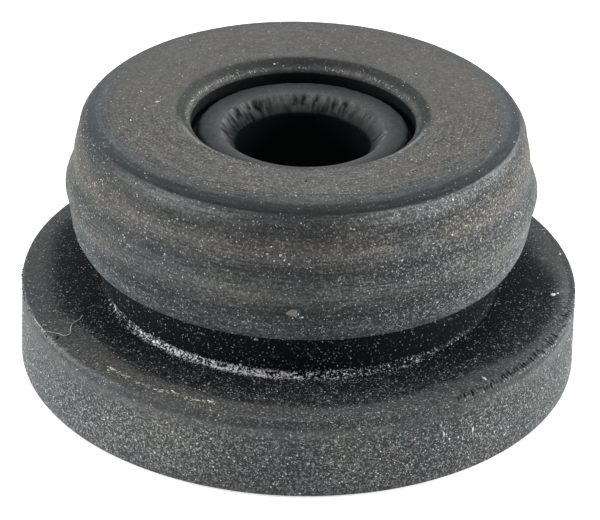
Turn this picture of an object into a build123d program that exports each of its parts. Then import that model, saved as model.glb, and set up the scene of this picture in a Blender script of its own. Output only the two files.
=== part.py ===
from build123d import *
from math import cos, radians, sin, tan
import os

# One-piece moulded rubber plug with a through bore.
# It stands on the flat face of its flange, with the axis of the bore along +Z.
# Sizes are in millimetres.

# Flange
flange_radius = 12.0  # at the foot of the wall
flange_height = 3.5
flange_draft = 1.9  # degrees that the wall leans in
foot_chamfer = 0.12
flange_dish = 0.05  # fall of the upper face from the rim to the neck

# Neck, the groove that takes the edge of a panel
neck_radius = 8.45
groove_width = 2.18

# Head, with one soft rib round its flank. An overhang is how far it reaches past the neck
head_height = 5.87
heel_overhang = 0.97  # lower edge of the head
heel_round = 0.14
belly_overhang = 1.28
belly_height = 1.15  # above the underside of the head
rib_overhang = 1.48
rib_height = 2.37  # above the underside of the head
waist_overhang = 1.24  # a third of the way from the rib to the shoulder
band_overhang = 1.065  # two thirds of the way
shoulder_overhang = 0.92  # foot of the shoulder round
shoulder_round = 1.4
shoulder_lean = 8.0  # degrees that the flank leans in below the shoulder
top_dish = 8.0  # degrees that the top face falls towards the bore

# Bore
bore_radius = 2.85
throat_width = 0.57  # chamfer from the ledge into the bore
throat_depth = 0.65
mouth_chamfer = 0.25

# Counterbore in the top face, from the bore outwards
ledge_width = 0.89
ledge_fall = 0.05
relief_width = 0.38
relief_depth = 0.6  # below the ledge
ledge_drop = 0.39  # from the foot of the lip down to the ledge
lip_width = 0.41
lip_depth = 0.39  # from the edge of the top face to the foot of the lip
lip_round = 0.1

# Levels and radii that follow from the sizes above
flange_rim_radius = flange_radius - (flange_height - foot_chamfer) * tan(radians(flange_draft))
flange_inner_level = flange_height - flange_dish
head_level = flange_height + groove_width
top_level = head_level + head_height
rib_level = head_level + rib_height
shoulder_sweep = 90 - shoulder_lean + top_dish
shoulder_foot_level = top_level - shoulder_round * (1 - sin(radians(shoulder_lean)))
waist_level = rib_level + (shoulder_foot_level - rib_level) / 3
band_level = rib_level + (shoulder_foot_level - rib_level) * 2 / 3
heel_radius = neck_radius + heel_overhang
throat_radius = bore_radius + throat_width
ledge_radius = throat_radius + ledge_width
seal_radius = ledge_radius + relief_width
lip_radius = seal_radius + lip_width

with BuildPart() as plug:
    with BuildSketch(Plane.XZ) as section:
        with BuildLine() as outline:
            # Underside, wall and upper face of the flange
            foot = Line((bore_radius + mouth_chamfer, 0), (flange_radius - foot_chamfer, 0))
            foot_edge = Line(foot @ 1, (flange_radius, foot_chamfer))
            wall = Line(foot_edge @ 1, (flange_rim_radius, flange_height))
            flange_top = Line(wall @ 1, (neck_radius, flange_inner_level))
            # Neck and underside of the head
            neck = Line(flange_top @ 1, (neck_radius, head_level))
            underside = Line(neck @ 1, (heel_radius, head_level))
            # Flank: belly, rib, waist and upper band in one smooth curve
            lean = radians(shoulder_lean)
            flank = Spline(
                underside @ 1,
                (neck_radius + belly_overhang, head_level + belly_height),
                (neck_radius + rib_overhang, rib_level),
                (neck_radius + waist_overhang, waist_level),
                (neck_radius + band_overhang, band_level),
                (neck_radius + shoulder_overhang, shoulder_foot_level),
                tangents=[(1, 1.7), (-sin(lean), cos(lean))],
            )
            shoulder = JernArc(flank @ 1, (-sin(lean), cos(lean)), shoulder_round, shoulder_sweep)
            # Top face, falling slightly towards the lip
            crest = shoulder @ 1
            lip_level = crest.Y - (crest.X - lip_radius) * tan(radians(top_dish))
            top_face = Line(crest, (lip_radius, lip_level))
            # Lip, relief groove and ledge
            seal_level = lip_level - lip_depth
            ledge_level = seal_level - ledge_drop
            relief_level = ledge_level - relief_depth
            lip = Line(top_face @ 1, (seal_radius, seal_level))
            relief_outer = Line(lip @ 1, (seal_radius, relief_level))
            relief_bottom = Line(relief_outer @ 1, (ledge_radius, relief_level))
            relief_inner = Line(relief_bottom @ 1, (ledge_radius, ledge_level))
            ledge = Line(relief_inner @ 1, (throat_radius, ledge_level - ledge_fall))
            # Throat chamfer, bore and lower mouth
            throat = Line(ledge @ 1, (bore_radius, ledge_level - ledge_fall - throat_depth))
            bore = Line(throat @ 1, (bore_radius, mouth_chamfer))
            mouth = Line(bore @ 1, foot @ 0)
        make_face()

        def corner(point):
            return section.vertices().sort_by_distance(point)[0]

        fillet(corner(underside @ 1), heel_round)
        fillet(corner(top_face @ 1), lip_round)
    revolve(axis=Axis.Z)

plug.part.label = "rubber_plug"
os.makedirs("parts", exist_ok=True)
export_step(plug.part, "parts/rubber_plug.step")
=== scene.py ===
import math
import random
from types import SimpleNamespace

import bpy
from mathutils import Matrix, Vector, noise


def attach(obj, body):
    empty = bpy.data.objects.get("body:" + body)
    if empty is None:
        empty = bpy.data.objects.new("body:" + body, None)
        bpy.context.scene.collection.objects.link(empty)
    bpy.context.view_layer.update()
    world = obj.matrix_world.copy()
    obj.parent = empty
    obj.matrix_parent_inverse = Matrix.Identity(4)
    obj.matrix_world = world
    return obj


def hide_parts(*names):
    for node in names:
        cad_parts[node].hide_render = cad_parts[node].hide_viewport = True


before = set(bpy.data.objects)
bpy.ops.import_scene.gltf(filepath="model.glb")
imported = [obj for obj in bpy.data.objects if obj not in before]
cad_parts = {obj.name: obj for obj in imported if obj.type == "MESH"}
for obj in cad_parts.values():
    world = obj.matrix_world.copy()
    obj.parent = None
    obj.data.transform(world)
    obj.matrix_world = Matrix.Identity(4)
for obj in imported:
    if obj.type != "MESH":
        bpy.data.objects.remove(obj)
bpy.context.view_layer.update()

mm = 0.001  # sizes below are in millimetres and angles in degrees, with the front at -90


# Shared helpers

def blend(low, high, share):
    return low + (high - low) * share


def smooth(low, high, value):
    share = min(1, max(0, (value - low) / (high - low)))
    return share * share * (3 - 2 * share)


def hump(value, centre, width):
    return math.exp(-((value - centre) / width) ** 2)


def turnFrom(angle, centre):
    return (angle - centre + 180) % 360 - 180


def trend(value, stops):
    for (start, low), (end, high) in zip(stops, stops[1:]):
        if value <= end:
            return blend(low, high, smooth(start, end, value))
    return stops[-1][1]


def ripple(x, y, z, size, seed=0):
    return noise.noise(Vector((x / size + seed * 17.3, y / size - seed * 5.1, z / size + seed * 2.7)))


def onCircle(radius, angle):
    return radius * math.cos(math.radians(angle)), radius * math.sin(math.radians(angle))


def addMesh(name, points, faces, material):
    data = bpy.data.meshes.new(name)
    data.from_pydata([(x * mm, y * mm, z * mm) for x, y, z in points], [], faces)
    data.shade_smooth()
    data.materials.append(material)
    piece = bpy.data.objects.new(name, data)
    bpy.context.scene.collection.objects.link(piece)
    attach(piece, "root")
    print(name + ":", len(points), "points,", sum(len(face) - 2 for face in faces), "triangles")
    return piece


def paint(piece, layers):
    for name, values in layers.items():
        piece.data.attributes.new(name, "FLOAT", "POINT").data.foreach_set("value", values)


# Outline of the plug, from the lower mouth of the bore round the outside and back down the bore

plug = {
    "boreRadius": 2.85,
    "mouthChamfer": 0.25,
    "throatRadius": 3.42,
    "throatDepth": 0.65,
    "ledgeRadius": 4.39,
    "ledgeFall": 0.095,
    "ledgeRound": 0.15,
    "sealRadius": 4.69,
    "ledgeDrop": 0.345,
    "reliefDepth": 0.645,
    "lipRadius": 5.1,
    "lipDepth": 0.39,
    "footRadius": 11.975,
    "rimRadius": 11.88,
    "rimRound": 0.07,
    "flangeHeight": 3.5,
    "flangeInnerHeight": 3.45,
    "footRound": 0.12,
    "neckRadius": 8.45,
    "neckFillet": 0.16,
    "headFoot": 5.68,
    "headTop": 11.535,
    "heelRound": 0.14,
    "heelRadius": 9.42,
    "shoulderFoot": (9.37, 10.345),
    "shoulderRound": 1.4,
    "shoulderLean": 8.0,
    "topDish": 8.0,
    "segments": 116,  # of the hidden rings; the seen ones have four times as many
}
# radius and height up the flank
flankPoints = [(9.42, 5.82), (9.60, 6.15), (9.73, 6.83), (9.80, 7.42), (9.92, 7.95), (9.90, 8.2),
               (9.69, 8.75), (9.59, 9.2), (9.515, 9.58), (9.44, 9.97), (9.37, 10.345)]


def arc(centre, radius, start, end, steps=12):
    turns = [blend(start, end, i / steps) for i in range(steps + 1)]
    return [(centre[0] + onCircle(radius, turn)[0], centre[1] + onCircle(radius, turn)[1]) for turn in turns]


def curve(points, steps=6):  # passes smoothly through the points
    ends = [points[0], *points, points[-1]]
    made = []
    for a, b, c, d in zip(ends, ends[1:], ends[2:], ends[3:]):
        for t in [i / steps for i in range(steps)]:
            made.append(tuple(0.5 * (2 * q + (r - p) * t + (2 * p - 5 * q + 4 * r - s) * t * t
                                     + (3 * q - p - 3 * r + s) * t ** 3) for p, q, r, s in zip(a, b, c, d)))
    return made + [points[-1]]


def spread(points, step):  # even steps along a line of points
    lengths = [math.dist(a, b) for a, b in zip(points, points[1:])]
    count = max(1, round(sum(lengths) / step))
    made, walked, index = [], 0, 0
    for i in range(count):
        target = sum(lengths) * i / count
        while walked + lengths[index] < target:
            walked += lengths[index]
            index += 1
        share = (target - walked) / lengths[index]
        a, b = points[index], points[index + 1]
        made.append((blend(a[0], b[0], share), blend(a[1], b[1], share)))
    return made


def outlineRings():
    p = SimpleNamespace(**plug)
    crest = (p.shoulderFoot[0] - p.shoulderRound * math.cos(math.radians(p.shoulderLean)),
             p.headTop - p.shoulderRound)
    shoulder = arc(crest, p.shoulderRound, p.shoulderLean, 90 + p.topDish, 24)
    crown = shoulder[-1]
    lipHeight = crown[1] - (crown[0] - p.lipRadius) * math.tan(math.radians(p.topDish))
    lipEdge = (p.lipRadius + 0.12, lipHeight + 0.016)
    sealHeight = lipHeight - p.lipDepth
    ledgeHeight = sealHeight - p.ledgeDrop
    throatHeight = ledgeHeight - p.ledgeFall
    ledgeEdge = (p.ledgeRadius - p.ledgeRound, ledgeHeight - p.ledgeRound)
    throat = (p.throatRadius, throatHeight)
    boreTop = (p.boreRadius, throatHeight - p.throatDepth)
    reliefFoot = ledgeHeight - p.reliefDepth
    fillet = p.neckFillet
    neckFoot = (p.neckRadius + fillet, p.flangeInnerHeight + fillet)
    foot = (p.footRadius - p.footRound, p.footRound)
    rim = (p.rimRadius - p.rimRound, p.flangeHeight - p.rimRound)
    heel = (p.heelRadius - p.heelRound, p.headFoot + p.heelRound)
    boreMouth = (p.boreRadius, p.mouthChamfer)
    boreEnd = (p.boreRadius + p.mouthChamfer, 0)
    boreBreak = (p.boreRadius, boreTop[1] - 0.9)  # coarser below, out of sight
    wallTop = (p.rimRadius, rim[1] - 0.25)
    rimBack = (rim[0] - 0.25, p.flangeHeight)
    lipMiddle = [(p.lipRadius - 0.03, lipHeight - 0.07), (p.sealRadius + 0.08, sealHeight + 0.07)]
    sealTop = (p.sealRadius, sealHeight - 0.08)
    zones = [  # name, points round the ring as a multiple of segments, step, line
        ("underside", 2, 1.8, [boreEnd, (foot[0], 0)]),
        ("wall", 4, 0.05, arc(foot, p.footRound, 270, 360)),
        ("wall", 4, 0.2, [(p.footRadius, foot[1]), wallTop]),
        ("rim", 4, 0.06, [wallTop, *arc(rim, p.rimRound, 0, 90), rimBack]),
        ("flangeTop", 4, 0.15, [rimBack, (neckFoot[0], p.flangeInnerHeight)]),
        ("neck", 4, 0.05, arc(neckFoot, fillet, 270, 180)),
        ("neck", 4, 0.18, [(p.neckRadius, neckFoot[1]), (p.neckRadius, p.headFoot)]),
        ("heel", 4, 0.25, [(p.neckRadius, p.headFoot), (heel[0], p.headFoot)]),
        ("flank", 4, 0.05, arc(heel, p.heelRound, 270, 360)),
        ("flank", 4, 0.12, curve(flankPoints)),
        ("flank", 4, 0.1, shoulder[:11]),
        ("topFace", 4, 0.06, shoulder[10:15]),
        ("topFace", 4, 0.12, shoulder[14:]),
        ("topFace", 4, 0.14, [crown, lipEdge]),
        ("lip", 4, 0.07, curve([lipEdge, *lipMiddle, sealTop])),
        ("relief", 4, 0.22, [sealTop, (p.sealRadius, reliefFoot),
                             (p.ledgeRadius, reliefFoot), (p.ledgeRadius, ledgeEdge[1])]),
        ("ledge", 4, 0.06, arc(ledgeEdge, p.ledgeRound, 0, 88)),
        ("ledge", 4, 0.12, [(ledgeEdge[0], ledgeHeight), throat]),
        ("throat", 4, 0.07, [throat, boreTop]),
        ("bore", 4, 0.15, [boreTop, boreBreak]),
        ("bore", 2, 0.6, [boreBreak, boreMouth]),
        ("bore", 2, 0.3, [boreMouth, boreEnd]),
    ]
    rings = []
    for name, density, step, points in zones:
        for radius, height in spread(points, step):
            rings.append({"zone": name, "density": density, "radius": radius, "height": height})
    return rings


# Unevenness of the moulding, as offsets in radius and height

uneven = {
    "broad": 0.03,
    "broadSize": 4.0,
    "fine": 0.006,
    "fineSize": 0.5,
    # height, width, amount
    "ridges": [(9.75, 0.4, 0.035), (8.92, 0.26, -0.05), (7.25, 0.25, -0.03), (10.72, 0.22, 0.03)],
    "tearPitch": 0.24,
    "tearDepth": 0.2,
    "tearLevels": (9.62, 9.8, 10.2, 10.4),  # the tearing grows over the first two and ends over the last
    "reliefRag": 0.05,
    "lipWaver": 0.03,
}


def tearAt(angle, height):
    x, y = onCircle(plug["throatRadius"] / uneven["tearPitch"], angle)
    foot, full, fading, top = uneven["tearLevels"]
    tear = noise.noise(Vector((x, y, height * 1.8)))
    tear += 0.7 * noise.noise(Vector((x * 2.1, y * 2.1, height * 4)))
    torn = max(hump(turnFrom(angle, 155), 0, 35), hump(turnFrom(angle, 88), 0, 20))
    strength = 0.4 + 0.8 * ripple(x, y, 0, 5.0, 11) + 0.7 * torn
    return tear * strength * smooth(top, fading, height) * smooth(foot, full, height)


def shaped(ring, angle):
    radius, height, zone = ring["radius"], ring["height"], ring["zone"]
    x, y = onCircle(radius, angle)
    u = uneven
    broad = ripple(x, y, height, u["broadSize"], 1)
    fine = ripple(x, y, height, u["fineSize"], 2)
    if zone == "wall":
        radius += -0.012 + 0.01 * broad + u["fine"] * fine
    elif zone == "rim":
        radius += -0.004 + 0.01 * broad
        height += -0.006 + 0.006 * fine
    elif zone == "flangeTop":
        height += -0.006 + u["broad"] * 0.4 * broad + u["fine"] * fine
    elif zone in ("neck", "heel"):
        radius += 0.01 * fine
    elif zone == "flank":
        radius += u["broad"] * broad + u["fine"] * fine
        wander = 0.1 * ripple(x, y, 0, 5.0, 5)
        for level, width, amount in u["ridges"]:
            radius += amount * hump(height + wander, level, width) * (0.8 + 0.5 * ripple(x, y, level, 3.0, 4))
    elif zone == "topFace":
        height += -0.014 + 0.4 * u["broad"] * broad + u["fine"] * fine
    elif zone == "lip":
        radius += u["lipWaver"] * (0.5 * broad + 0.6 * fine)
    elif zone == "relief":
        radius += 0.2 * u["reliefRag"] * ripple(x, y, 0, 0.2, 17)
    elif zone == "ledge":
        height += 0.012 * broad + 0.008 * fine
        radius += u["reliefRag"] * ripple(x, y, 0, 0.2, 17) * smooth(4.1, 4.3, radius)
    elif zone == "throat":
        tear = u["tearDepth"] * tearAt(angle, height)
        radius += tear
        height += 0.5 * tear
    elif zone == "bore":
        radius += 0.01 * fine
    return radius, height


# How the grey film, its warmth, the fine light grains, the chalk and the drawn-out streaks lie over the plug;
# in places the film and grains also carry painted highlights, sheen and shade
# A stop is (height or radius, amount), and a patch is (angle, spread, amount)

wallFinish = {
    # the film rises towards the foot: painted light from the floor, over the dust film
    "filmAndShading": [(0.0, 0.78), (0.25, 0.73), (0.6, 0.68), (2.2, 0.64), (2.9, 0.62), (3.3, 0.7)],
    "filmWander": 0.2,
    "filmPatches": [(-58, 19, -0.24)],
    "upperFrom": (2.4, 2.9),
    "upperPatches": [(-26, 20, 0.4), (-90, 18, 0.26)],
    "warmth": 0.35,
    "warmthWander": 0.25,
    "grainAndShade": [(0.0, 0.7), (1.2, 1.05), (2.4, 0.9), (2.9, 0.4), (3.4, 0.25)],
    "grainWander": 0.5,
    "sideLoss": 0.45,
    "upperLeftLoss": 0.5,
}
rimFinish = {
    "filmAndShading": 0.42,
    "warmth": 0.3,
    "grainAndShade": 0.25,
    # the patch at -148 lies on the rim's corner: a painted highlight along the edge
    "filmPatches": [(-148, 18, 0.3)],
    "grainPatches": [(-80, 24, 0.35)],
}
flangeFinish = {
    "innerEdge": 10.75,  # the dark part ends here
    "edgeWaver": 0.55,
    "edgeShifts": [(-148, 16, -0.5), (-28, 18, 0.35)],
    "outerFilm": 0.4,
    "innerFilm": 0.035,
    "outerPatches": [(-20, 26, 0.5)],
    "frontPatches": [(-90, 18, -0.12)],
    "spots": [(-5.5, 1.5, 11.24, 0.24, 0.4), (9.6, 0.9, 10.76, 0.13, 0.3), (-6.3, 0.8, 10.2, 0.1, 0.25),
              (-1.2, 0.8, 9.97, 0.1, 0.25)],  # angle, spread, radius, spread, film
    "warmth": 0.3,
    "warmPatches": [(-115, 22, 0.45)],
    "outerGrain": 0.35,
    "innerGrain": 1.1,
    "backLoss": 0.6,
    # fewer light grains near the neck, most at the sides: painted shade under the head
    "neckShadeLoss": (0.15, 0.45),  # in front, and added at the sides
    "grainPatches": [(-30, 22, -0.2)],
    "rimGrain": [(-78, 24, 0.45)],
    "seam": [(-117, 14, 1)],
    "seamRadius": 11.2,
    "seamWidth": 0.12,
    "seamGains": (0.03, 0.4, 0.25),  # film, warmth, grain
    "chalkPatches": [(-157, 8, 0.34)],
}
neckFinish = {
    "grainAndShade": 0.45,
    # fewer light grains at the sides and at -60: painted shade at the foot of the head
    "sideLoss": 0.22,
    "grainPatches": [(-60, 17, -0.45)],
    "chalkPatches": [(-157, 8, 0.24)],
}
flankFinish = {
    "filmAndShading": [(5.66, 0.2), (5.72, 0.42), (5.9, 0.34), (6.3, 0.36), (6.7, 0.28), (7.05, 0.22), (7.3, 0.29),
             (7.85, 0.5), (8.15, 0.42), (8.5, 0.36), (8.82, 0.24), (9.1, 0.34), (9.4, 0.44), (9.7, 0.46),
             (10.0, 0.36), (10.3, 0.26), (10.6, 0.17), (11.1, 0.14), (11.35, 0.12)],
    "smears": [(-121, 20, 10.93, 0.34, 0.52), (-57, 18, 10.88, 0.36, 0.54), (-28, 16, 11.14, 0.36, 0.52),
               (60, 24, 10.9, 0.3, 0.3), (140, 20, 10.9, 0.3, 0.34)],  # angle, spread, height, spread, film
    "gain": 1.2,
    "filmWander": 0.25,
    "upperLeft": [(-158, 22, -0.34)],
    "right": [(-22, 26, 0.1)],
    "lowerRight": [(-20, 19, 0.48)],
    "upperRight": [(-58, 16, 0.22)],
    "warmth": [(5.7, 0.0), (7.0, 0.05), (7.7, 0.5), (8.6, 0.35), (9.0, 0.35), (9.5, 0.75), (10.1, 0.75),
               (10.6, 0.45), (11.2, 0.2)],
    "warmthWander": 0.5,
    "grainAndShade": 0.32,
    "lowerGrain": 0.18,
    "grainPatches": [(-48, 26, 0.4)],
    "upperLoss": 0.08,
    "shoulderLoss": 0.7,
    "streak": 0.8,
}
topFinish = {
    "edgeRadius": 8.655,
    "edgeWaver": 0.03,
    "filmAndShading": [(5.1, 0.46), (5.35, 0.54), (7.6, 0.55), (8.3, 0.5), (8.55, 0.42), (8.9, 0.4)],
    "filmWander": 0.08,
    "shoulderFilm": (0.21, 0.14),  # at the edge, and below it
    # more film on the shoulder at the sides: painted sheen of grazing light
    "sideSheenFilm": 0.08,
    "backPatches": [(90, 50, -0.6)],
    "warmth": 0.7,
    "edgeCooling": 0.65,
    "grainAndShade": (0.04, 0.26),  # at the back, and added in front
    "edgeLoss": 0.75,
    "streak": (0.15, 0.5),
}
counterFinish = {
    "lip": [(4.69, 0.1), (4.72, 0.22), (4.8, 0.32), (4.9, 0.24), (5.0, 0.19), (5.2, 0.2)],
    "lipPatches": [(160, 35, 0.6), (90, 20, -0.35)],
    "lipCrust": [(150, 40, 0.24), (62, 24, 0.26), (16, 24, 0.13)],  # more film at the foot of the lip
    "crustRadius": 4.84,
    "crustWidth": 0.09,
    "crustRag": 1.5,
    # film on the near edge of the lip, most to either side: a painted highlight on its rounding
    "nearEdgeHighlight": 0.12,
    "nearSideHighlights": (60, 24, 0.75),  # turn to either side, spread, amount
    "relief": [(168, 24, 0.06)],
    # the ledge's film thins towards its outer edge: painted shade beside the relief groove
    "ledge": [(3.42, 0.48), (3.6, 0.42), (3.8, 0.31), (4.05, 0.23), (4.2, 0.19), (4.36, 0.13)],
    "ledgeWander": 0.15,
    "ledgePatches": [(68, 30, -0.16), (162, 26, 0.14)],
    "throat": [(9.68, 0.07), (9.85, 0.14), (10.1, 0.33), (10.3, 0.44)],
    # the film follows the tearing: painted light on the crests, painted shade in the troughs
    "tearLightAndShade": 2.4,
}
dustLine = {
    "strengths": [(-150, 9, 0.1), (-136, 12, 0.38), (-120, 16, 0.4), (-104, 14, 0.36), (-86, 18, 0.34),
                  (-64, 14, 0.14), (-52, 14, 0.16), (-34, 12, 0.14), (100, 60, 0.25)],
    "least": 0.12,
    "most": 0.8,
    "width": 0.15,
    "rag": 1.6,
}


def patchesAt(angle, patches):
    return sum(amount * hump(turnFrom(angle, centre), 0, width) for centre, width, amount in patches)


def spotsAt(angle, where, spots):
    return sum(patchesAt(angle, [(centre, width, amount)]) * hump(where, middle, depth)
               for centre, width, middle, depth, amount in spots)


def dustLineAt(angle):
    return min(dustLine["most"], dustLine["least"] + patchesAt(angle, dustLine["strengths"]))


def dustWidth(x, y, angle):
    return dustLine["width"] * dustLineAt(angle) * (1 + dustLine["rag"] * ripple(x, y, 0, 0.35, 19))


def seamAt(angle):
    return flangeFinish["seamRadius"] + 0.1 * ripple(angle, 0, 0, 2.6, 12)


# Each of these gives film, warmth, grain, chalk and streak at a place in its zone

def wallLook(at):
    w = wallFinish
    # The film is higher towards the foot, a painted pool of floor light.
    filmAndShading = trend(at.height, w["filmAndShading"]) * (1 + w["filmWander"] * at.broad)
    filmAndShading *= 1 + at.patches(w["filmPatches"])
    filmAndShading *= 1 + smooth(*w["upperFrom"], at.height) * at.patches(w["upperPatches"])
    grainAndShade = trend(at.height, w["grainAndShade"]) * (1 + w["grainWander"] * at.broad)
    grainAndShade *= 1 - w["sideLoss"] * smooth(40, 70, at.turned)
    grainAndShade *= 1 - w["upperLeftLoss"] * smooth(2.2, 2.7, at.height) * smooth(0, 40, turnFrom(-90, at.angle))
    return filmAndShading, w["warmth"] + w["warmthWander"] * at.broad, grainAndShade, 0, 0


def rimLook(at):
    r = rimFinish
    # On the rounded corner the film patches paint a highlight along the rim's edge.
    corner = smooth(11.72, 11.8, at.radius) * smooth(3.3, 3.4, at.height)
    filmAndShading = r["filmAndShading"] + corner * at.patches(r["filmPatches"])
    return filmAndShading, r["warmth"], r["grainAndShade"] + at.patches(r["grainPatches"]), 0, 0


def flangeLook(at):
    f = flangeFinish
    edge = f["innerEdge"] + f["edgeWaver"] * ripple(at.x, at.y, 0, 4.0, 8)
    edge += at.patches(f["edgeShifts"])
    inner = smooth(edge + 0.2 + 0.4 * at.side, edge - 0.25 - 0.25 * at.side, at.radius)
    filmAndShading = blend(f["outerFilm"], f["innerFilm"], inner)
    filmAndShading += smooth(11.0, 11.65, at.radius) * at.patches(f["outerPatches"])
    filmAndShading *= 1 + at.patches(f["frontPatches"])
    filmAndShading += spotsAt(at.angle, at.radius, f["spots"]) + 0.03 * smooth(9.8, 10.5, at.radius) * inner
    grainAndShade = blend(f["outerGrain"], f["innerGrain"], inner) * (1 - f["backLoss"] * smooth(62, 90, at.turned))
    grainAndShade *= 1 + at.patches(f["grainPatches"])
    # Painted shade: fewer light grains near the neck, most at the sides.
    front, sides = f["neckShadeLoss"]
    grainAndShade *= 1 - (front + sides * smooth(25, 60, at.turned)) * smooth(10.2, 9.2, at.radius)
    grainAndShade += smooth(11.2, 11.4, at.radius) * at.patches(f["rimGrain"])
    warmth = f["warmth"] * (1 - inner) + (1 - inner) * at.patches(f["warmPatches"])
    seam = at.patches(f["seam"]) * hump(at.radius, seamAt(at.angle), f["seamWidth"])
    filmAndShading, warmth, grainAndShade = [value + gain * seam for value, gain in zip((filmAndShading, warmth, grainAndShade), f["seamGains"])]
    chalk = dustLineAt(at.angle) * smooth(8.6 + 2 * dustWidth(at.x, at.y, at.angle), 8.58, at.radius)
    chalk += smooth(9.4, 8.8, at.radius) * at.patches(f["chalkPatches"])
    return filmAndShading, warmth, grainAndShade, chalk, 0


def neckLook(at):
    n = neckFinish
    # Fewer light grains at the sides and at -60 paint shade on the neck.
    grainAndShade = n["grainAndShade"] - n["sideLoss"] * smooth(10, 40, at.turned)
    grainAndShade *= 1 + at.patches(n["grainPatches"])
    chalk = dustLineAt(at.angle) * smooth(3.7 + 1.3 * dustWidth(at.x, at.y, at.angle), 3.58, at.height)
    chalk += smooth(4.5, 3.7, at.height) * at.patches(n["chalkPatches"])
    return 0, 0, grainAndShade, chalk, 0


def flankLook(at):
    f = flankFinish
    filmAndShading = trend(at.height, f["filmAndShading"]) + spotsAt(at.angle, at.height, f["smears"])
    # At the sides the film is lifted towards an even light grey with weaker bands: painted sheen of grazing
    # light, over the dust.
    filmAndShading = f["gain"] * blend(filmAndShading, 0.5 + 0.3 * (filmAndShading - 0.3), 0.5 * at.side) * (1 + f["filmWander"] * at.broad)
    filmAndShading *= 1 + smooth(7.7, 8.1, at.height) * at.patches(f["upperLeft"])
    filmAndShading *= 1 + at.patches(f["right"])
    filmAndShading += smooth(8.4, 7.2, at.height) * at.patches(f["lowerRight"])
    filmAndShading *= 1 + smooth(7.9, 8.2, at.height) * at.patches(f["upperRight"])
    warmth = trend(at.height, f["warmth"]) * (1 + f["warmthWander"] * at.broad)
    grainAndShade = f["grainAndShade"] + at.patches(f["grainPatches"])
    grainAndShade += f["lowerGrain"] * smooth(7.3, 6.6, at.height) - f["upperLoss"] * smooth(10.3, 10.8, at.height)
    return filmAndShading, warmth, grainAndShade * (1 - f["shoulderLoss"] * smooth(10.9, 11.2, at.height)), 0, f["streak"]


def topLook(at):
    t = topFinish
    edge = t["edgeRadius"] + t["edgeWaver"] * ripple(at.x, at.y, 0, 1.5, 9)
    filmAndShading = trend(at.radius, t["filmAndShading"]) * (1 + t["filmWander"] * at.broad)
    filmAndShading *= smooth(edge + 0.05, edge - 0.03, at.radius)
    # At the sides the shoulder gets more film, a painted sheen of grazing light.
    filmAndShading = max(filmAndShading, blend(*t["shoulderFilm"], smooth(8.75, 8.95, at.radius)) + t["sideSheenFilm"] * at.side)
    filmAndShading *= 1 + smooth(5.5, 5.25, at.radius) * at.patches(t["backPatches"])
    front = smooth(60, 130, abs(turnFrom(at.angle, 90)))
    grainAndShade = (t["grainAndShade"][0] + t["grainAndShade"][1] * front) * (1 - t["edgeLoss"] * smooth(8.1, 8.5, at.radius))
    warmth = t["warmth"] - t["edgeCooling"] * smooth(7.9, 8.5, at.radius)
    return filmAndShading, warmth, grainAndShade, 0, t["streak"][0] + t["streak"][1] * front


def lipLook(at):
    c = counterFinish
    crust = at.patches(c["lipCrust"]) * (1 + c["crustRag"] * ripple(at.x, at.y, 0, 0.35, 10))
    crust *= hump(at.radius + 0.03 * at.broad, c["crustRadius"], c["crustWidth"])
    filmAndShading = trend(at.radius, c["lip"]) * (1 + at.patches(c["lipPatches"])) + crust
    # A painted highlight: more film on the near rounding of the lip, most to either side.
    centre, spreadAngle, amount = c["nearSideHighlights"]
    nearEdgeHighlight = c["nearEdgeHighlight"] + amount * hump(at.turned, centre, spreadAngle)
    filmAndShading += nearEdgeHighlight * smooth(5.02, 5.12, at.radius) * smooth(90, 60, at.turned)
    return filmAndShading, 0.4 + 1.2 * crust, 0.1 + 0.6 * crust, 0, 0


def ledgeLook(at):
    c = counterFinish
    # The film thins towards the relief groove, painted shade in the corner.
    filmAndShading = trend(at.radius, c["ledge"]) * (1 + c["ledgeWander"] * at.broad)
    return filmAndShading * (1 + at.patches(c["ledgePatches"])), 0.2, 0, 0, 0


def throatLook(at):
    filmAndShading = trend(at.height, counterFinish["throat"])
    # Painted light and shade: the film is raised on the crests of the tearing and lowered in its troughs.
    return filmAndShading * max(0.1, 1 + counterFinish["tearLightAndShade"] * tearAt(at.angle, at.height)), 0.35, 0, 0, 0


looks = {
    "wall": wallLook, "rim": rimLook, "flangeTop": flangeLook, "neck": neckLook, "flank": flankLook,
    "topFace": topLook, "lip": lipLook, "ledge": ledgeLook, "throat": throatLook,
    "underside": lambda at: (0.4 * (1 + 0.3 * at.broad), 0.3, 0.4, 0, 0),
    "heel": lambda at: (0.02, 0, 0.3, 0, 0),
    "relief": lambda at: (at.patches(counterFinish["relief"]), 0, 0, 0, 0),
    "bore": lambda at: (0, 0, 0, 0, 0),
}


def finishAt(ring, angle):
    radius, height = ring["radius"], ring["height"]
    x, y = onCircle(radius, angle)
    turned = abs(turnFrom(angle, -90))  # away from the front, to either side
    at = SimpleNamespace(angle=angle, radius=radius, height=height, x=x, y=y, turned=turned,
                         side=smooth(40, 85, turned), broad=ripple(x, y, height, 3.0, 7),
                         patches=lambda rows: patchesAt(angle, rows))
    filmAndShading, warmth, grainAndShade, chalk, streak = looks[ring["zone"]](at)
    return max(0, filmAndShading), min(1, max(0, warmth)), max(0, grainAndShade), chalk, streak


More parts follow.
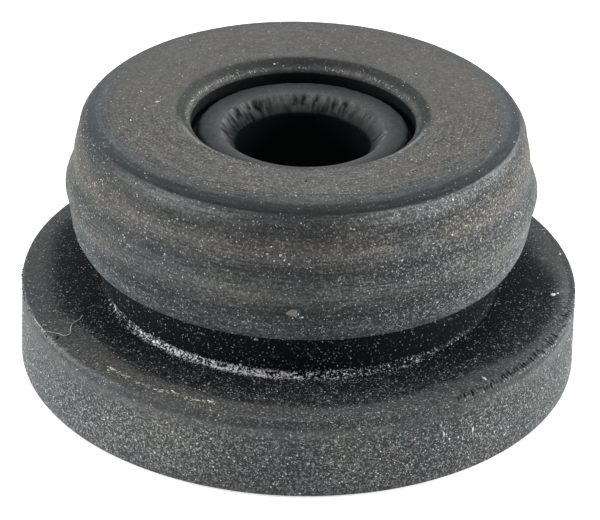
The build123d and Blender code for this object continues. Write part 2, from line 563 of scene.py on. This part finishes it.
def joinRings(starts, counts):  # a ring has as many points as the next, or twice or half as many
    faces = []
    for k in range(len(starts)):
        after = (k + 1) % len(starts)
        startA, countA, startB, countB = starts[k], counts[k], starts[after], counts[after]
        if countA == countB:
            for j, n in ((j, (j + 1) % countA) for j in range(countA)):
                faces.append((startA + j, startA + n, startB + n, startB + j))
            continue
        wide, narrow = (startB, startA) if countB > countA else (startA, startB)
        few = min(countA, countB)
        for j in range(few):
            n, f, g = (j + 1) % few, 2 * j, (2 * j + 2) % (2 * few)
            trio = [(narrow + j, wide + f + 1, wide + f), (narrow + j, narrow + n, wide + f + 1),
                    (narrow + n, wide + g, wide + f + 1)]
            faces += trio if wide == startB else [face[::-1] for face in trio]
    return faces


def buildPlug(rings, material):
    points, starts, counts, values = [], [], [], []
    for ring in rings:
        count = plug["segments"] * ring["density"]
        starts.append(len(points))
        counts.append(count)
        for j in range(count):
            angle = 360 * j / count
            radius, height = shaped(ring, angle)
            points.append((*onCircle(radius, angle), height))
            values.append(finishAt(ring, angle))
    body = addMesh("plugBody", points, joinRings(starts, counts), material)
    layers = list(zip(*values))
    paint(body, dict(zip(("filmAndShading", "warmth", "grainAndShade", "chalk", "streak"), layers)))
    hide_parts("rubber_plug")
    return body


# Shader nodes

def addNode(tree, kind, inputs=None, **settings):
    node = tree.nodes.new(kind)
    for key, value in settings.items():
        setattr(node, key, value)
    for socket, given in (inputs or {}).items():
        if isinstance(given, bpy.types.NodeSocket):
            tree.links.new(given, node.inputs[socket])
        else:
            node.inputs[socket].default_value = given
    return node


def mathNode(operation, *values, clamp=False):  # goes into the tree of the first socket that it is given
    tree = next(value for value in values if isinstance(value, bpy.types.NodeSocket)).id_data
    node = addNode(tree, "ShaderNodeMath", dict(enumerate(values)), operation=operation, use_clamp=clamp)
    return node.outputs[0]


def times(first, second, clamp=False):
    return mathNode("MULTIPLY", first, second, clamp=clamp)


def timesPlus(value, gain, lift, clamp=False):
    return mathNode("MULTIPLY_ADD", value, gain, lift, clamp=clamp)


def minus(first, second):
    return mathNode("SUBTRACT", first, second)


def mixColours(share, first, second):
    inputs = {0: share, 6: first, 7: second}
    return addNode(share.id_data, "ShaderNodeMix", inputs, data_type="RGBA").outputs[2]


def easeBetween(value, low, high):
    inputs = {"Value": value, "From Min": low, "From Max": high}
    return addNode(value.id_data, "ShaderNodeMapRange", inputs, interpolation_type="SMOOTHSTEP").outputs[0]


def noiseNode(vector, size, detail=2.0, rough=0.5, warp=0.0):
    settings = {"Vector": vector, "Scale": 1 / size, "Detail": detail, "Roughness": rough, "Distortion": warp}
    return addNode(vector.id_data, "ShaderNodeTexNoise", settings).outputs["Fac"]


def grainGroup():  # one cell in so many holds a round grain, of its own size and tone
    tree = bpy.data.node_groups.new("dustGrains", "ShaderNodeTree")
    tree.interface.new_socket(name="Vector", in_out="INPUT", socket_type="NodeSocketVector")
    for name, direction in (("Scale", "INPUT"), ("Density", "INPUT"), ("Size", "INPUT"), ("Mask", "OUTPUT"),
                            ("Tone", "OUTPUT")):
        tree.interface.new_socket(name=name, in_out=direction, socket_type="NodeSocketFloat")
    given = tree.nodes.new("NodeGroupInput").outputs
    result = tree.nodes.new("NodeGroupOutput").inputs
    inputs = {"Vector": given["Vector"], "Scale": given["Scale"]}
    cells = addNode(tree, "ShaderNodeTexVoronoi", inputs, feature="F1").outputs
    parts = addNode(tree, "ShaderNodeSeparateColor", {0: cells["Color"]}).outputs
    present = mathNode("LESS_THAN", parts[0], given["Density"])
    reach = times(given["Size"], timesPlus(parts[1], 0.8, 0.4))
    near = mathNode("SUBTRACT", 1.0, mathNode("DIVIDE", cells["Distance"], reach), clamp=True)
    tree.links.new(times(present, times(near, 2.5, clamp=True)), result["Mask"])
    tone = timesPlus(mathNode("POWER", parts[2], 2.5), 0.85, 0.12)
    tree.links.new(tone, result["Tone"])
    return tree


def placeGrains(grainTree, vector, size, density, reach):
    inputs = {"Vector": vector, "Scale": 1 / size, "Density": density, "Size": reach}
    node = addNode(vector.id_data, "ShaderNodeGroup", inputs, node_tree=grainTree)
    return node.outputs["Mask"], node.outputs["Tone"]


def newMaterial(name):
    material = bpy.data.materials.new(name)
    material.use_nodes = True
    tree = material.node_tree
    tree.nodes.clear()
    output = tree.nodes.new("ShaderNodeOutputMaterial")
    shader = tree.nodes.new("ShaderNodeBsdfPrincipled")
    tree.links.new(shader.outputs[0], output.inputs[0])
    return material, tree, shader


rubber = {
    "bare": (0.0036, 0.0062, 0.0066, 1),
    "coolFilm": (0.165, 0.184, 0.192, 1),
    "warmFilm": (0.212, 0.197, 0.173, 1),
    "grainColour": (0.55, 0.58, 0.575, 1),
    "chalkColour": (0.8, 0.8, 0.84, 1),
    "grainSize": 0.058,
    "fleckSize": 0.15,
    "mottleSize": 0.1,
    "mottle": 1.5,
    "thinnest": 0.42,
    "warmWander": 0.6,
    "bareRoughness": 0.55,
    "filmRoughness": 0.35,
    "specular": 0.06,
    "bumpDistance": 0.03,
}


def trackAround(tree, place):  # follows the moulding round its axis, for the streaks
    parts = addNode(tree, "ShaderNodeSeparateXYZ", {0: place}).outputs
    flat = addNode(tree, "ShaderNodeCombineXYZ", {0: parts[0], 1: parts[1]}).outputs[0]
    radius = addNode(tree, "ShaderNodeVectorMath", {0: flat}, operation="LENGTH").outputs["Value"]
    around = addNode(tree, "ShaderNodeVectorMath", {0: flat}, operation="NORMALIZE").outputs[0]
    spun = addNode(tree, "ShaderNodeVectorMath", {0: around, "Scale": 6.0}, operation="SCALE").outputs[0]
    along = times(minus(parts[2], radius), 11 / mm)
    rise = addNode(tree, "ShaderNodeCombineXYZ", {2: along}).outputs[0]
    return addNode(tree, "ShaderNodeVectorMath", {0: spun, 1: rise}, operation="ADD").outputs[0]


def rubberMaterial(grainTree):
    r = rubber
    material, tree, shader = newMaterial("dustyRubber")
    place = tree.nodes.new("ShaderNodeTexCoord").outputs["Object"]
    painted = {name: addNode(tree, "ShaderNodeAttribute", attribute_name=name).outputs["Fac"]
               for name in ("filmAndShading", "warmth", "grainAndShade", "chalk", "streak")}
    streaks = noiseNode(trackAround(tree, place), 1.0, 3.0, 0.6)
    wave = times(painted["streak"], minus(streaks, 0.5))

    # film, thicker and thinner in blobs
    fine = noiseNode(place, r["mottleSize"] * mm, 2.0, 0.6)
    middle = noiseNode(place, 0.3 * mm, 3.0, 0.6)
    broad = noiseNode(place, 2.2 * mm, 3.0, 0.55)
    blobGain = timesPlus(painted["grainAndShade"], 1.35, 0.25)
    blobs = minus(easeBetween(fine, 0.46, 0.72), 0.33)
    mottle = timesPlus(blobs, blobGain, times(minus(middle, 0.5), 0.4))
    mottle = timesPlus(timesPlus(wave, 1.6, mottle), r["mottle"], 1.0)
    filmAndShading = times(painted["filmAndShading"], mathNode("MAXIMUM", mottle, r["thinnest"]), clamp=True)
    warmth = timesPlus(minus(broad, 0.5), r["warmWander"], painted["warmth"], clamp=True)
    filmColour = mixColours(warmth, r["coolFilm"], r["warmFilm"])
    colour = mixColours(filmAndShading, r["bare"], filmColour)

    # small grains, and fewer large ones, out of line with their cells
    inputs = {"Vector": place, "Scale": 1 / (0.1 * mm), "Detail": 1.0}
    bent = addNode(tree, "ShaderNodeTexNoise", inputs).outputs["Color"]
    shift = addNode(tree, "ShaderNodeVectorMath", {0: bent, "Scale": 0.06 * mm}, operation="SCALE").outputs[0]
    shaken = addNode(tree, "ShaderNodeVectorMath", {0: place, 1: shift}, operation="ADD").outputs[0]
    gathered = times(times(painted["grainAndShade"], 0.7), easeBetween(middle, 0.15, 0.7))
    small, smallTone = placeGrains(grainTree, shaken, r["grainSize"] * mm, gathered, 0.6)
    sparse = timesPlus(painted["grainAndShade"], 0.12, -0.036, clamp=True)
    large, largeTone = placeGrains(grainTree, shaken, r["fleckSize"] * mm, sparse, 0.4)
    largeTone = timesPlus(largeTone, 0.75, 0.4, clamp=True)
    speck = mathNode("MAXIMUM", times(small, smallTone), times(large, largeTone))
    colour = mixColours(speck, colour, r["grainColour"])

    clump = noiseNode(place, 0.1 * mm, 4.0, 0.7)
    ragged = timesPlus(minus(middle, 0.5), 0.25, clump)
    chalkLevel = timesPlus(painted["chalk"], 0.36, ragged)
    chalkEdge = easeBetween(chalkLevel, 0.7, 0.82)
    chalk = times(chalkEdge, times(painted["chalk"], 2.6, clamp=True))
    colour = mixColours(chalk, colour, r["chalkColour"])
    tree.links.new(colour, shader.inputs["Base Color"])

    roughness = timesPlus(filmAndShading, r["filmRoughness"], r["bareRoughness"], clamp=True)
    tree.links.new(roughness, shader.inputs["Roughness"])
    shader.inputs["Specular IOR Level"].default_value = r["specular"]
    height = timesPlus(fine, 0.4, times(speck, 0.6))
    height = timesPlus(chalk, 1.2, timesPlus(wave, 1.2, height))
    inputs = {"Strength": 0.55, "Distance": r["bumpDistance"] * mm, "Height": height}
    tree.links.new(addNode(tree, "ShaderNodeBump", inputs).outputs[0], shader.inputs["Normal"])
    return material


def specklesMaterial(name, tones):
    material, tree, shader = newMaterial(name)
    place = tree.nodes.new("ShaderNodeTexCoord").outputs["Object"]
    broad = noiseNode(place, 0.9 * mm, 2.0)
    fine = noiseNode(place, 0.04 * mm, 2.0)
    share = timesPlus(mathNode("ADD", broad, fine), 1.2, -0.7, clamp=True)
    tree.links.new(mixColours(share, tones["dark"], tones["colour"]), shader.inputs["Base Color"])
    tree.links.new(timesPlus(fine, 0.2, 0.75), shader.inputs["Roughness"])
    bump = addNode(tree, "ShaderNodeBump", {"Strength": 0.4, "Distance": 0.01 * mm, "Height": fine})
    tree.links.new(bump.outputs[0], shader.inputs["Normal"])
    return material


# Loose bits: talc grains, beige grit, rubber crumbs, a fibre and the torn flash
# A place is its zone, its angle and where: the height in upright zones, the radius in the others

uprightZones = ("wall", "neck", "flank")


def spot(zone, angle, where, lift=0.0, upright=False):  # a point on the surface and the way that it faces
    key = "height" if upright or zone in uprightZones else "radius"
    pairs = [(a, b) for a, b in zip(rings, rings[1:]) if a["zone"] == zone and b["zone"] == zone]
    a, b = min(pairs, key=lambda pair: abs((pair[0][key] + pair[1][key]) / 2 - where))
    share = (where - a[key]) / (b[key] - a[key]) if abs(b[key] - a[key]) > 1e-6 else 0.5
    (radiusA, heightA), (radiusB, heightB) = shaped(a, angle), shaped(b, angle)
    outward, upward = heightB - heightA, radiusA - radiusB
    size = math.hypot(outward, upward)
    outward, upward = outward / size, upward / size
    x, y = onCircle(blend(radiusA, radiusB, share) + lift * outward, angle)
    normal = Vector((*onCircle(outward, angle), upward))
    return Vector((x, y, blend(heightA, heightB, share) + lift * upward)), normal


def frameOn(normal, turn):
    first = normal.cross(Vector((0, 0, 1)))
    first = (first if first.length > 0.1 else Vector((1, 0, 0))).normalized()
    second = normal.cross(first)
    cosine, sine = onCircle(1, turn)
    return first * cosine + second * sine, second * cosine - first * sine


golden = (1 + math.sqrt(5)) / 2  # the corners and faces of a 20-sided body, for the bits
roundCorners = [Vector(corner).normalized() for corner in (
    (-1, golden, 0), (1, golden, 0), (-1, -golden, 0), (1, -golden, 0), (0, -1, golden), (0, 1, golden),
    (0, -1, -golden), (0, 1, -golden), (golden, 0, -1), (golden, 0, 1), (-golden, 0, -1), (-golden, 0, 1))]
roundFaces = [(0, 11, 5), (0, 5, 1), (0, 1, 7), (0, 7, 10), (0, 10, 11), (1, 5, 9), (5, 11, 4), (11, 10, 2),
              (10, 7, 6), (7, 1, 8), (3, 9, 4), (3, 4, 2), (3, 2, 6), (3, 6, 8), (3, 8, 9), (4, 9, 5),
              (2, 4, 11), (6, 2, 10), (8, 6, 7), (9, 8, 1)]


def addBit(mesh, draw, zone, angle, where, lift, size, turn=None, upright=False):
    points, faces = mesh
    turn = draw.uniform(0, 180) if turn is None else turn
    place, normal = spot(zone, angle, where, lift, upright)
    length, width, thickness = size
    along, across = frameOn(normal, turn)
    start = len(points)
    for corner in roundCorners:
        swell = draw.uniform(0.7, 1.15)
        reach = along * corner.x * length + across * corner.y * width + normal * corner.z * thickness
        points.append(tuple(place + reach * swell))
    faces += [tuple(start + index for index in face) for face in roundFaces]


talc = {
    "seed": 11,
    "colour": (0.7, 0.71, 0.71, 1),
    "dark": (0.4, 0.42, 0.42, 1),
    "smallest": 0.01,
    "flat": 0.6,
    # zone, from, to, number all round, largest
    "fields": [("wall", 0.15, 2.6, 1900, 0.05), ("wall", 0.6, 2.0, 900, 0.05), ("flank", 5.8, 7.4, 900, 0.03),
               ("flank", 7.4, 10.2, 500, 0.024), ("flangeTop", 8.7, 10.6, 800, 0.034),
               ("flangeTop", 10.6, 11.7, 160, 0.022), ("topFace", 5.3, 8.5, 120, 0.018),
               ("topFace", 5.2, 7.4, 130, 0.036), ("neck", 3.8, 5.5, 300, 0.026)],
    "clumps": 2000,  # along the white line at the foot of the neck
    "clumpFoot": {"flangeTop": 8.63, "neck": 3.62},
    "clumpSpread": 0.05,
    "clumpSize": 0.03,
}


def buildTalc():
    draw, mesh = random.Random(talc["seed"]), ([], [])

    def drop(zone, angle, where, largest):
        length = blend(talc["smallest"], largest, draw.random() ** 3)
        size = (length, length * draw.uniform(0.5, 1), length * talc["flat"])
        addBit(mesh, draw, zone, angle, where, length * 0.25, size)

    for zone, low, high, number, largest in talc["fields"]:
        for i in range(number):
            drop(zone, draw.uniform(-180, 180), draw.uniform(low, high), largest)
    placed = 0
    while placed < talc["clumps"]:
        angle = draw.uniform(-180, 180)
        if draw.random() > dustLineAt(angle) * (0.7 + 1.2 * ripple(angle, 0, 0, 3.0, 3)):
            continue
        offset = abs(draw.gauss(0, talc["clumpSpread"]))
        zone = "flangeTop" if draw.random() < 0.6 else "neck"
        drop(zone, angle, talc["clumpFoot"][zone] + offset, talc["clumpSize"])
        placed += 1
    addMesh("talcGrains", *mesh, specklesMaterial("talc", talc))


grit = {
    "seed": 5,
    "colour": (0.58, 0.57, 0.5, 1),
    "dark": (0.33, 0.32, 0.27, 1),
    # angle, height on the flank, length, width, turn
    "flakes": [(-94.4, 9.6, 0.06, 0.05, 10), (-96.6, 9.9, 0.05, 0.045, 40), (-93.4, 9.42, 0.07, 0.05, 80),
               (-92.3, 9.25, 0.05, 0.05, 0), (-95.8, 9.35, 0.055, 0.05, 30), (-97.4, 9.62, 0.05, 0.04, 60)],
    "flakeThickness": 0.045,
    "bandGrains": 90,  # on the warm band of the flank
    "edgeGrains": 230,  # along the seam on the flange
    "edgeFromTo": (-133, -104),
    "lipGrains": [(148, 24, 70), (40, 14, 22)],  # angle, spread, number
}


def buildGrit():
    draw, mesh = random.Random(grit["seed"]), ([], [])
    for angle, height, length, width, turn in grit["flakes"]:
        addBit(mesh, draw, "flank", angle, height, 0.02, (length, width, grit["flakeThickness"]), turn)
    for i in range(grit["bandGrains"]):
        angle, height, size = draw.gauss(-95, 45), draw.gauss(9.6, 0.3), draw.uniform(0.018, 0.04)
        addBit(mesh, draw, "flank", angle, height, 0.01, (size, size * 0.8, size * 0.6))
    for i in range(grit["edgeGrains"]):
        angle = draw.uniform(*grit["edgeFromTo"])
        heap = ripple(angle, 0, 0, 1.3, 18) + 0.9 * ripple(angle, 0, 0, 4.3, 21)
        if heap < draw.uniform(-0.4, 0.1):
            continue
        size = blend(0.01, 0.07, draw.random() ** 4)
        radius = seamAt(angle) + draw.gauss(0, 0.03 + 0.12 * max(0, heap))
        size = (size * draw.uniform(1, 2.4), size * 0.6, size * 0.4)
        addBit(mesh, draw, "flangeTop", angle, radius, 0.01, size, draw.gauss(-25, 20))
    for centre, spreadAngle, number in grit["lipGrains"]:
        for i in range(number):
            angle, radius = draw.gauss(centre, spreadAngle), draw.gauss(counterFinish["crustRadius"], 0.035)
            size = draw.uniform(0.015, 0.04)
            addBit(mesh, draw, "lip", angle, radius, 0.01, (size, size * 0.8, size * 0.7))
    addMesh("beigeGrit", *mesh, specklesMaterial("beigeGrit", grit))


beigeChip = {
    "angle": -91.4,
    "height": 7.19,
    # corners to the right and upwards, in millimetres from its middle
    "corners": [(-0.254, -0.075), (-0.142, 0.06), (-0.03, 0.17), (0.206, 0.18), (0.215, -0.075),
                (0.133, -0.186), (-0.03, -0.16), (-0.142, -0.1)],
    "thickness": 0.085,
    "bevel": 0.78,
    "size": 0.9,
    "colour": (0.235, 0.223, 0.184, 1),
    "dark": (0.12, 0.115, 0.094, 1),
}


def buildBeigeChip():
    chip = beigeChip
    middle, normal = spot("flank", chip["angle"], chip["height"])
    right = Vector((0, 0, 1)).cross(normal).normalized()
    up = normal.cross(right)
    points, count = [], len(chip["corners"])
    for size, lift in ((1.0, -0.03), (1.04, 0.6 * chip["thickness"]), (chip["bevel"], chip["thickness"])):
        for i, (x, y) in enumerate(chip["corners"]):
            reach = chip["size"] * size * (1 + 0.06 * math.sin(i * 2.3 + 5 * lift))
            rise = lift * (1 + 0.15 * math.cos(i * 1.9))
            points.append(tuple(middle + (right * x + up * y) * reach + normal * rise))
    points.append(tuple(middle + normal * chip["thickness"] * 0.92))
    faces = [(low + i, low + (i + 1) % count, low + count + (i + 1) % count, low + count + i)
             for low in (0, count) for i in range(count)]
    faces += [(2 * count + i, 2 * count + (i + 1) % count, 3 * count) for i in range(count)]
    faces.append(tuple(range(count))[::-1])
    piece = addMesh("beigeChip", points, faces, specklesMaterial("beigeStone", chip))
    piece.data.shade_flat()


paleBits = {
    "seed": 7,
    "colour": (0.8, 0.8, 0.79, 1),
    "dark": (0.55, 0.55, 0.54, 1),
    # zone, angle, where, length, width, thickness, turn
    "bits": [("flangeTop", -7.6, 10.92, 0.17, 0.14, 0.06, 20),
             ("flangeTop", -6.6, 11.12, 0.1, 0.06, 0.03, 40),
             ("flangeTop", 10.6, 11.6, 0.07, 0.09, 0.04, 0), ("flank", -89.9, 7.12, 0.035, 0.065, 0.03, 0),
             ("flank", -89.0, 6.98, 0.07, 0.045, 0.03, 20), ("flank", -91.2, 6.92, 0.035, 0.035, 0.02, 0),
             ("flangeTop", -47.8, 11.25, 0.2, 0.06, 0.06, -59), ("wall", -60.1, 2.1, 0.045, 0.16, 0.03, 8),
             ("wall", -53.2, 1.85, 0.05, 0.17, 0.03, 0), ("wall", -58.8, 1.8, 0.04, 0.07, 0.03, 30),
             ("lip", 105.4, 5.0, 0.055, 0.05, 0.04, 0), ("topFace", 177.5, 6.1, 0.03, 0.15, 0.015, 20),
             ("topFace", -175.0, 6.6, 0.1, 0.03, 0.015, 10), ("topFace", -165.0, 7.3, 0.09, 0.03, 0.015, 0),
             ("topFace", 172.0, 6.9, 0.05, 0.03, 0.015, 60)],
}


def buildPaleBits():
    draw, mesh = random.Random(paleBits["seed"]), ([], [])
    for zone, angle, where, length, width, thickness, turn in paleBits["bits"]:
        addBit(mesh, draw, zone, angle, where, thickness * 0.5, (length, width, thickness), turn)
    addMesh("paleBits", *mesh, specklesMaterial("paleBits", paleBits))


crumbs = {
    "seed": 3,
    # zone, angle, radius, length, width
    "bits": [("topFace", -88.7, 6.63, 0.09, 0.06), ("topFace", -88.3, 6.5, 0.04, 0.05),
             ("flangeTop", -148.5, 11.52, 0.11, 0.07), ("flangeTop", -148.0, 11.6, 0.06, 0.06)],
    "thickness": 0.03,
    "rimLeft": (-178, -150),
    "rimHeight": 3.46,
    "rimCount": 26,
}


def buildCrumbs(material):
    draw, mesh = random.Random(crumbs["seed"]), ([], [])
    for zone, angle, radius, length, width in crumbs["bits"]:
        addBit(mesh, draw, zone, angle, radius, 0, (length, width, crumbs["thickness"]))
    for i in range(crumbs["rimCount"]):
        size, angle = draw.uniform(0.02, 0.045), draw.uniform(*crumbs["rimLeft"])
        addBit(mesh, draw, "rim", angle, crumbs["rimHeight"], 0.01, (size, size * 0.8, size), upright=True)
    piece = addMesh("rubberCrumbs", *mesh, material)
    paint(piece, {"filmAndShading": [0.03] * len(mesh[0]), "grainAndShade": [0.1] * len(mesh[0])})


pinkLint = {
    "seed": 9,
    "places": [(-66.6, 2.34), (-70.3, 1.84)],  # angle, height on the wall
    "strands": 9,
    "strand": (0.012, 0.01),  # width, thickness
    "colour": (0.36, 0.2, 0.23, 1),
    "dark": (0.2, 0.1, 0.12, 1),
}


def buildPinkLint():
    draw, mesh = random.Random(pinkLint["seed"]), ([], [])
    for middle, centre in pinkLint["places"]:
        for i in range(pinkLint["strands"]):
            angle, height = middle + draw.gauss(0, 0.35), centre + draw.gauss(0, 0.09)
            addBit(mesh, draw, "wall", angle, height, 0.008, (draw.uniform(0.03, 0.06), *pinkLint["strand"]))
    addMesh("pinkLint", *mesh, specklesMaterial("pinkLint", pinkLint))


fibre = {
    # angle and radius on the flange
    "route": [(-157.2, 11.84), (-155.0, 11.84), (-153.2, 11.82), (-151.7, 11.83), (-151.2, 11.69),
              (-150.4, 11.57), (-149.9, 11.46), (-149.3, 11.36), (-148.5, 11.31), (-148.1, 11.19),
              (-148.3, 11.01), (-148.9, 10.89), (-150.3, 10.76), (-151.6, 10.6), (-152.5, 10.4),
              (-153.2, 10.16), (-154.1, 10.0), (-155.1, 9.87)],
    "branch": [(-153.4, 11.78), (-154.0, 11.68), (-153.2, 11.6)],
    "thickness": 0.0135,
    "lift": 0.03,
    "sides": 6,
    "colour": (0.52, 0.52, 0.49, 1),
    "dark": (0.33, 0.34, 0.32, 1),
}


def addThread(points, faces, route, thickness):
    centres = []
    for angle, radius in curve(route, 5):
        zone = "flangeTop" if radius < 11.5 else "rim"
        lift = fibre["lift"] * (1 + 0.6 * ripple(angle, radius, 0, 1.5, 6))
        centres.append(spot(zone, angle, radius, lift)[0])
    for i, centre in enumerate(centres):
        ahead = (centres[min(i + 1, len(centres) - 1)] - centres[max(i - 1, 0)]).normalized()
        side = ahead.cross(Vector((0, 0, 1))).normalized()
        up = side.cross(ahead)
        size = thickness * (1 + 0.35 * math.sin(i * 1.7)) * (0.5 if i in (0, len(centres) - 1) else 1)
        for k in range(fibre["sides"]):
            cosine, sine = onCircle(size, 360 * k / fibre["sides"])
            points.append(tuple(centre + side * cosine + up * sine))
    count = fibre["sides"]
    start = len(points) - count * len(centres)
    for i in range(len(centres) - 1):
        for k in range(count):
            a, b = start + i * count + k, start + i * count + (k + 1) % count
            faces.append((a, b, b + count, a + count))
    faces.append(tuple(start + k for k in range(count))[::-1])
    faces.append(tuple(len(points) - count + k for k in range(count)))


def buildFibre():
    points, faces = [], []
    addThread(points, faces, fibre["route"], fibre["thickness"])
    addThread(points, faces, fibre["branch"], fibre["thickness"] * 0.8)
    addMesh("lintFibre", points, faces, specklesMaterial("lint", fibre))


flash = {
    "start": -66,
    "end": -6,
    "steps": 660,
    "across": 14,
    "reachIn": 0.55,
    "reachDown": 0.14,
    "height": 0.08,
    "toothPitch": 0.17,
    "toothLean": 0.55,
    "slitWidth": 0.33,
    "ragPitch": 0.12,
    "outermost": 11.985,  # stays inside the foot of the flange
}


def buildFlash(material):
    f = flash
    points, faces, flashFilmAndShade, grainAndShadeAmounts, chalks = [], [], [], [], []
    for i in range(f["steps"] + 1):
        angle = blend(f["start"], f["end"], i / f["steps"])
        x, y = onCircle(plug["rimRadius"], angle)
        around = math.radians(angle) * plug["rimRadius"]
        ends = smooth(0, 0.32, i / f["steps"]) * smooth(1, 0.88, i / f["steps"])
        for j in range(f["across"] + 1):
            share = j / f["across"]
            inward = max(0, 1 - share / 0.75) * f["reachIn"]
            down = max(0, share - 0.75) * 4 * f["reachDown"]
            walked = around - f["toothLean"] * inward + 0.08 * ripple(x, y, inward, 0.5, 16)
            tooth = math.floor(walked / f["toothPitch"])
            place = walked / f["toothPitch"] - tooth
            depth = 0.2 + 0.9 * smooth(0.0, 0.2, noise.noise(Vector((tooth * 7.31, 0.4, 0))))
            reach = 0.5 + 0.35 * noise.noise(Vector((tooth * 3.17, 2.6, 0)))
            slit = hump(place, 0.55, f["slitWidth"]) * depth * ends * hump(share, reach, 0.19)
            ridge = hump(place, 0.06, 0.2) * (0.4 + 0.6 * depth) * ends * smooth(0.1, 0.4, share)
            rag = ripple(x, y, inward * 1.5 - down, f["ragPitch"], 15)
            crest = smooth(0, 0.4, share + 0.3 * rag) * smooth(1, 0.85, share) * ends
            level = f["height"] * (0.4 + 0.6 * ridge + 0.6 * rag - slit)
            raised = crest * max(0.02, level) - 0.03 * (1 - crest)
            outward, upward = onCircle(raised, blend(90, 0, smooth(0.65, 0.9, share)))
            radius = min(plug["rimRadius"] - inward + outward, f["outermost"])
            points.append((*onCircle(radius, angle), plug["flangeHeight"] - down + upward))
            pale = 0.5 * hump(turnFrom(angle, -20), 0, 26)
            # The film follows the relief: painted shade in the slits, where film and grains drop, and a
            # painted highlight on the crests.
            flashFilmAndShade.append(max(0.0, 0.42 + pale + crest * (1.1 * ridge + 0.6 * rag) - 2.5 * slit))
            grainAndShadeAmounts.append(max(0.0, 0.35 + 2.2 * ridge * crest - 3 * slit))
            chalks.append(max(0.0, ridge * crest * (0.25 + pale) - slit))
    width = f["across"] + 1
    for i in range(f["steps"]):
        for j in range(f["across"]):
            a = i * width + j
            faces.append((a, a + 1, a + width + 1, a + width))
    piece = addMesh("flashEdge", points, faces, material)
    paint(piece, {"filmAndShading": flashFilmAndShade, "warmth": [0.3] * len(points), "grainAndShade": grainAndShadeAmounts, "chalk": chalks})


# Floor, light and camera

studio = {
    "floorColour": (0.8, 0.8, 0.8, 1),
    "floorGlow": 0.5,
    "floorReach": 600,
    "floorHeight": -0.01,
    "worldStrength": 0.48,
    "aim": (0, 0, 6),
    # name, place, size, power
    "lamps": [("topLight", (0, 20, 160), 140, 0.14), ("leftLight", (-150, 8, 42), 80, 0.3),
              ("rightLight", (150, 8, 42), 80, 0.3)],
}


def buildFloor():
    data = bpy.data.meshes.new("floor")
    reach, height = studio["floorReach"] * mm, studio["floorHeight"] * mm
    corners = [(x * reach, y * reach, height) for x, y in ((-1, -1), (1, -1), (1, 1), (-1, 1))]
    data.from_pydata(corners, [], [(0, 1, 2, 3)])
    floor = bpy.data.objects.new("floor", data)
    bpy.context.scene.collection.objects.link(floor)
    material = bpy.data.materials.new("paleFloor")
    material.use_nodes = True
    tree = material.node_tree
    tree.nodes.clear()
    rays = tree.nodes.new("ShaderNodeLightPath").outputs
    seen = mathNode("MAXIMUM", rays["Is Camera Ray"], rays["Is Glossy Ray"])
    matte = addNode(tree, "ShaderNodeBsdfDiffuse", {"Color": studio["floorColour"]})
    glow = addNode(tree, "ShaderNodeEmission", {"Strength": times(seen, studio["floorGlow"])})
    both = addNode(tree, "ShaderNodeAddShader", {0: matte.outputs[0], 1: glow.outputs[0]})
    addNode(tree, "ShaderNodeOutputMaterial", {0: both.outputs[0]})
    data.materials.append(material)
    print("floor laid")


def addLamp(name, place, size, power):
    lamp = bpy.data.lights.new(name, "AREA")
    lamp.shape = "DISK"
    lamp.size = size * mm
    lamp.energy = power
    holder = bpy.data.objects.new(name, lamp)
    holder.location = [value * mm for value in place]
    holder.rotation_euler = (Vector(studio["aim"]) - Vector(place)).to_track_quat("-Z", "Y").to_euler()
    bpy.context.scene.collection.objects.link(holder)


def buildStudio():
    world = bpy.data.worlds.new("studio")
    bpy.context.scene.world = world
    world.use_nodes = True
    tree = world.node_tree
    tree.nodes.clear()
    seen = tree.nodes.new("ShaderNodeLightPath").outputs["Is Camera Ray"]
    soft = addNode(tree, "ShaderNodeBackground", {"Color": (1, 1, 1, 1), "Strength": studio["worldStrength"]})
    plain = addNode(tree, "ShaderNodeBackground", {"Color": (1, 1, 1, 1), "Strength": 1.0})
    choose = addNode(tree, "ShaderNodeMixShader", {0: seen, 1: soft.outputs[0], 2: plain.outputs[0]})
    addNode(tree, "ShaderNodeOutputWorld", {0: choose.outputs[0]})
    for lamp in studio["lamps"]:
        addLamp(*lamp)
    print("world and", len(studio["lamps"]), "lamps set")


camera = {
    "place": (0, -94.87, 57.61),
    "look": 61.454,  # degrees up from straight down
    "pan": 0.0142,
    "tilt": 0.9038,
    "roll": 1.6194,
    "focalPixels": 2536.0,
    "imageWidth": 600,
}


def buildCamera():
    data = bpy.data.cameras.new("photoView")
    data.sensor_width = 36
    data.lens = camera["focalPixels"] / camera["imageWidth"] * data.sensor_width
    data.clip_start, data.clip_end = 5 * mm, 5
    holder = bpy.data.objects.new("photoView", data)
    turn = Matrix.Identity(4)
    turns = ((camera["look"], "X"), (-camera["pan"], "Y"), (-camera["tilt"], "X"), (camera["roll"], "Z"))
    for degrees, axis in turns:
        turn = turn @ Matrix.Rotation(math.radians(degrees), 4, axis)
    holder.matrix_world = Matrix.Translation([value * mm for value in camera["place"]]) @ turn
    bpy.context.scene.collection.objects.link(holder)
    bpy.context.scene.camera = holder
    print("camera set")


grains = grainGroup()
dustyRubber = rubberMaterial(grains)
rings = outlineRings()
buildPlug(rings, dustyRubber)
buildTalc()
buildGrit()
buildBeigeChip()
buildPaleBits()
buildCrumbs(dustyRubber)
buildPinkLint()
buildFibre()
buildFlash(dustyRubber)
buildFloor()
buildStudio()
buildCamera()
bpy.context.scene.view_settings.view_transform = "Standard"
